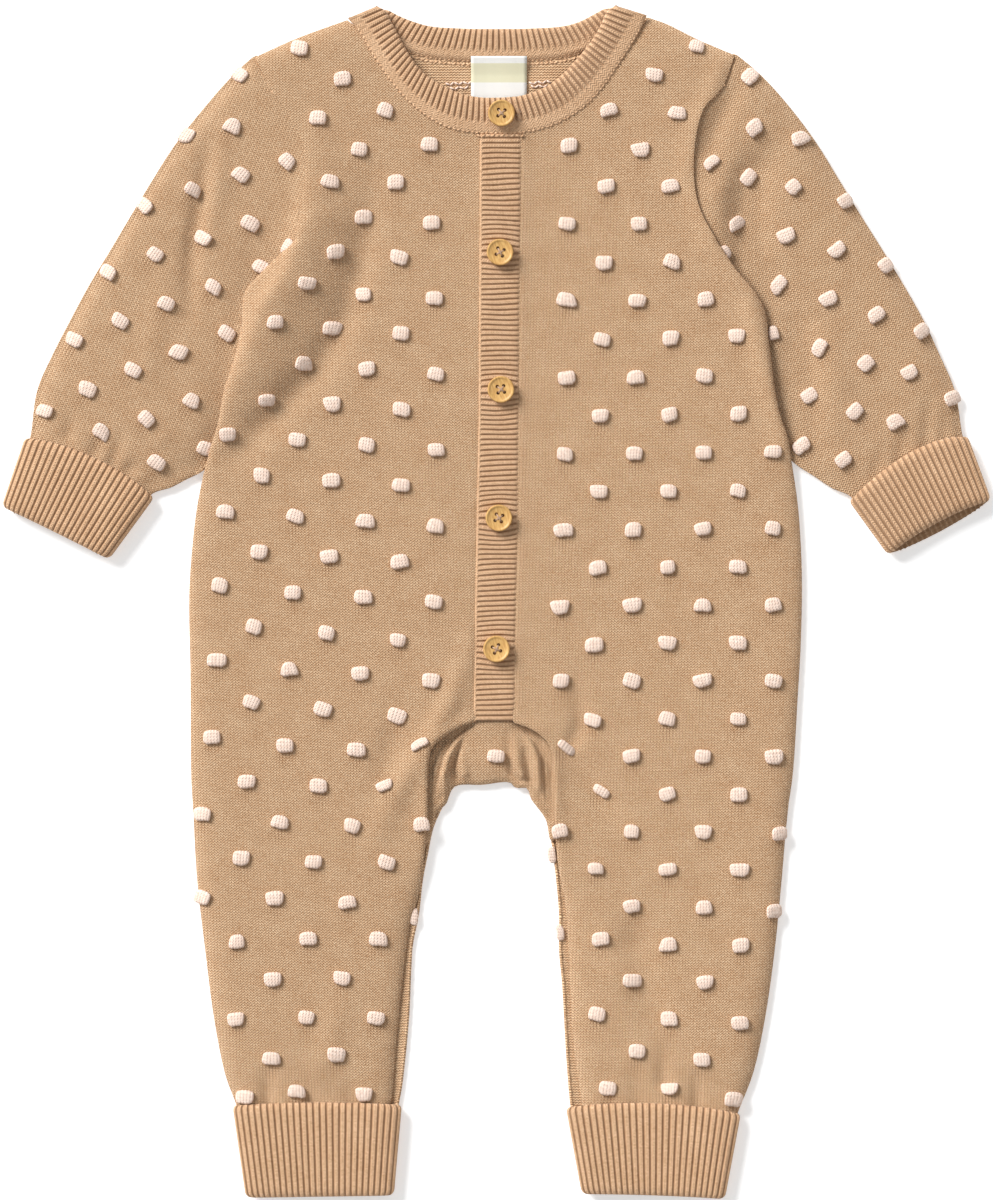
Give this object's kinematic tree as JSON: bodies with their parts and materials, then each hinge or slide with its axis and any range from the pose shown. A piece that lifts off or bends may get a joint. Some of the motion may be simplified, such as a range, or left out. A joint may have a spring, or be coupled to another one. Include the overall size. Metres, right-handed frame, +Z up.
{
  "type": "baby romper",
  "caption": "Long-sleeved knitted baby romper laid flat, tan cotton with raised pale pink bobbles, ribbed neck, button band and turned-up cuffs, wooden buttons",
  "frame": {"origin": "middle of the garment's length and width, on the surface it lies on", "axes": "+X is the right side as seen from above, +Y runs to the neck, +Z is up from the surface it lies on, toward the viewer"},
  "size_m": [0.4456, 0.5384, 0.0106],
  "materials": {
    "knit": "matte cotton stockinette, tan melange, with pale pink bobbles",
    "ribbing": "matte ribbed cotton knit, same tan yarn",
    "button_wood": "honey-coloured wood, satin",
    "label_tape": "off-white woven tape"
  },
  "bodies": {
    "root": {"front_left": "knit", "front_right": "knit", "back": "knit", "crotch_gusset": "knit", "sleeve_left": "knit", "sleeve_right": "knit", "sleeve_cuff_left": "ribbing", "sleeve_cuff_right": "ribbing", "leg_cuff_left": "ribbing", "leg_cuff_right": "ribbing", "neckband_front": "ribbing", "neckband_back": "ribbing", "placket": "ribbing", "placket_under": "ribbing", "button_1": "button_wood", "button_2": "button_wood", "button_3": "button_wood", "button_4": "button_wood", "button_5": "button_wood", "neck_label": "label_tape"}
  },
  "joints": []
}
